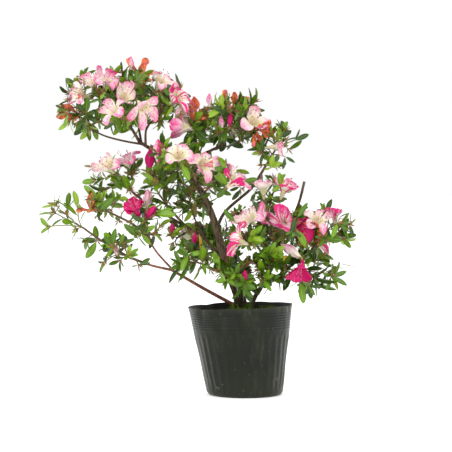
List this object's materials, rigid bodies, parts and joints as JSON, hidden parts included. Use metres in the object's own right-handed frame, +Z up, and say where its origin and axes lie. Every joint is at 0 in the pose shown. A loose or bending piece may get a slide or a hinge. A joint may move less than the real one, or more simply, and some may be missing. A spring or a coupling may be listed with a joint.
{
  "type": "potted azalea shrub",
  "caption": "Small azalea shrub in flower: a leaning trunk with forked boughs, leafy sprays and funnel-shaped blooms, rooted in a soft fluted nursery pot.",
  "frame": {"origin": "centre of the pot's flat underside", "axes": "+Z up, -Y towards the front of the plant, +X to the right as seen from the front"},
  "size_m": [0.4713, 0.2113, 0.5004],
  "materials": {
    "pot": "satin",
    "root_ball": "matte",
    "bark": "matte",
    "foliage": "satin"
  },
  "bodies": {
    "root": {"pot": "pot", "root_ball": "root_ball", "trunk": "bark", "second_stem": "bark", "upper_left_bough": "bark", "left_crown_limb": "bark", "left_crown_twig": "bark", "left_crown_fork": "bark", "left_crown_back_limb": "bark", "middle_bough": "bark", "middle_right_limb": "bark", "middle_left_limb": "bark", "right_arm": "bark", "centre_limb": "bark", "left_middle_bough": "bark", "inner_limb": "bark", "lower_left_bough": "bark", "left_low_outer_bough": "bark", "left_low_upper_bough": "bark", "right_low_bough": "bark", "right_low_outer": "bark", "right_upper_limb": "bark", "pruned_stub": "bark", "left_crown_outer": "foliage", "left_crown_middle": "foliage", "left_crown_right": "foliage", "left_crown_back": "foliage", "middle_crown_left": "foliage", "middle_crown_right": "foliage", "middle_crown_back": "foliage", "right_arm_spray": "foliage", "centre_front": "foliage", "centre_right": "foliage", "centre_back": "foliage", "left_middle_spray": "foliage", "left_inner_spray": "foliage", "left_far_shoot": "foliage", "left_far_spray": "foliage", "left_low_tuft": "foliage", "left_pink_tuft": "foliage", "left_bud_sprig": "foliage", "low_left_front": "foliage", "inner_left": "foliage", "low_centre": "foliage", "low_back": "foliage", "right_upper_sprig": "foliage", "right_centre": "foliage", "right_middle": "foliage", "right_far": "foliage", "right_low": "foliage", "right_back": "foliage", "right_low_front": "foliage"}
  },
  "joints": []
}
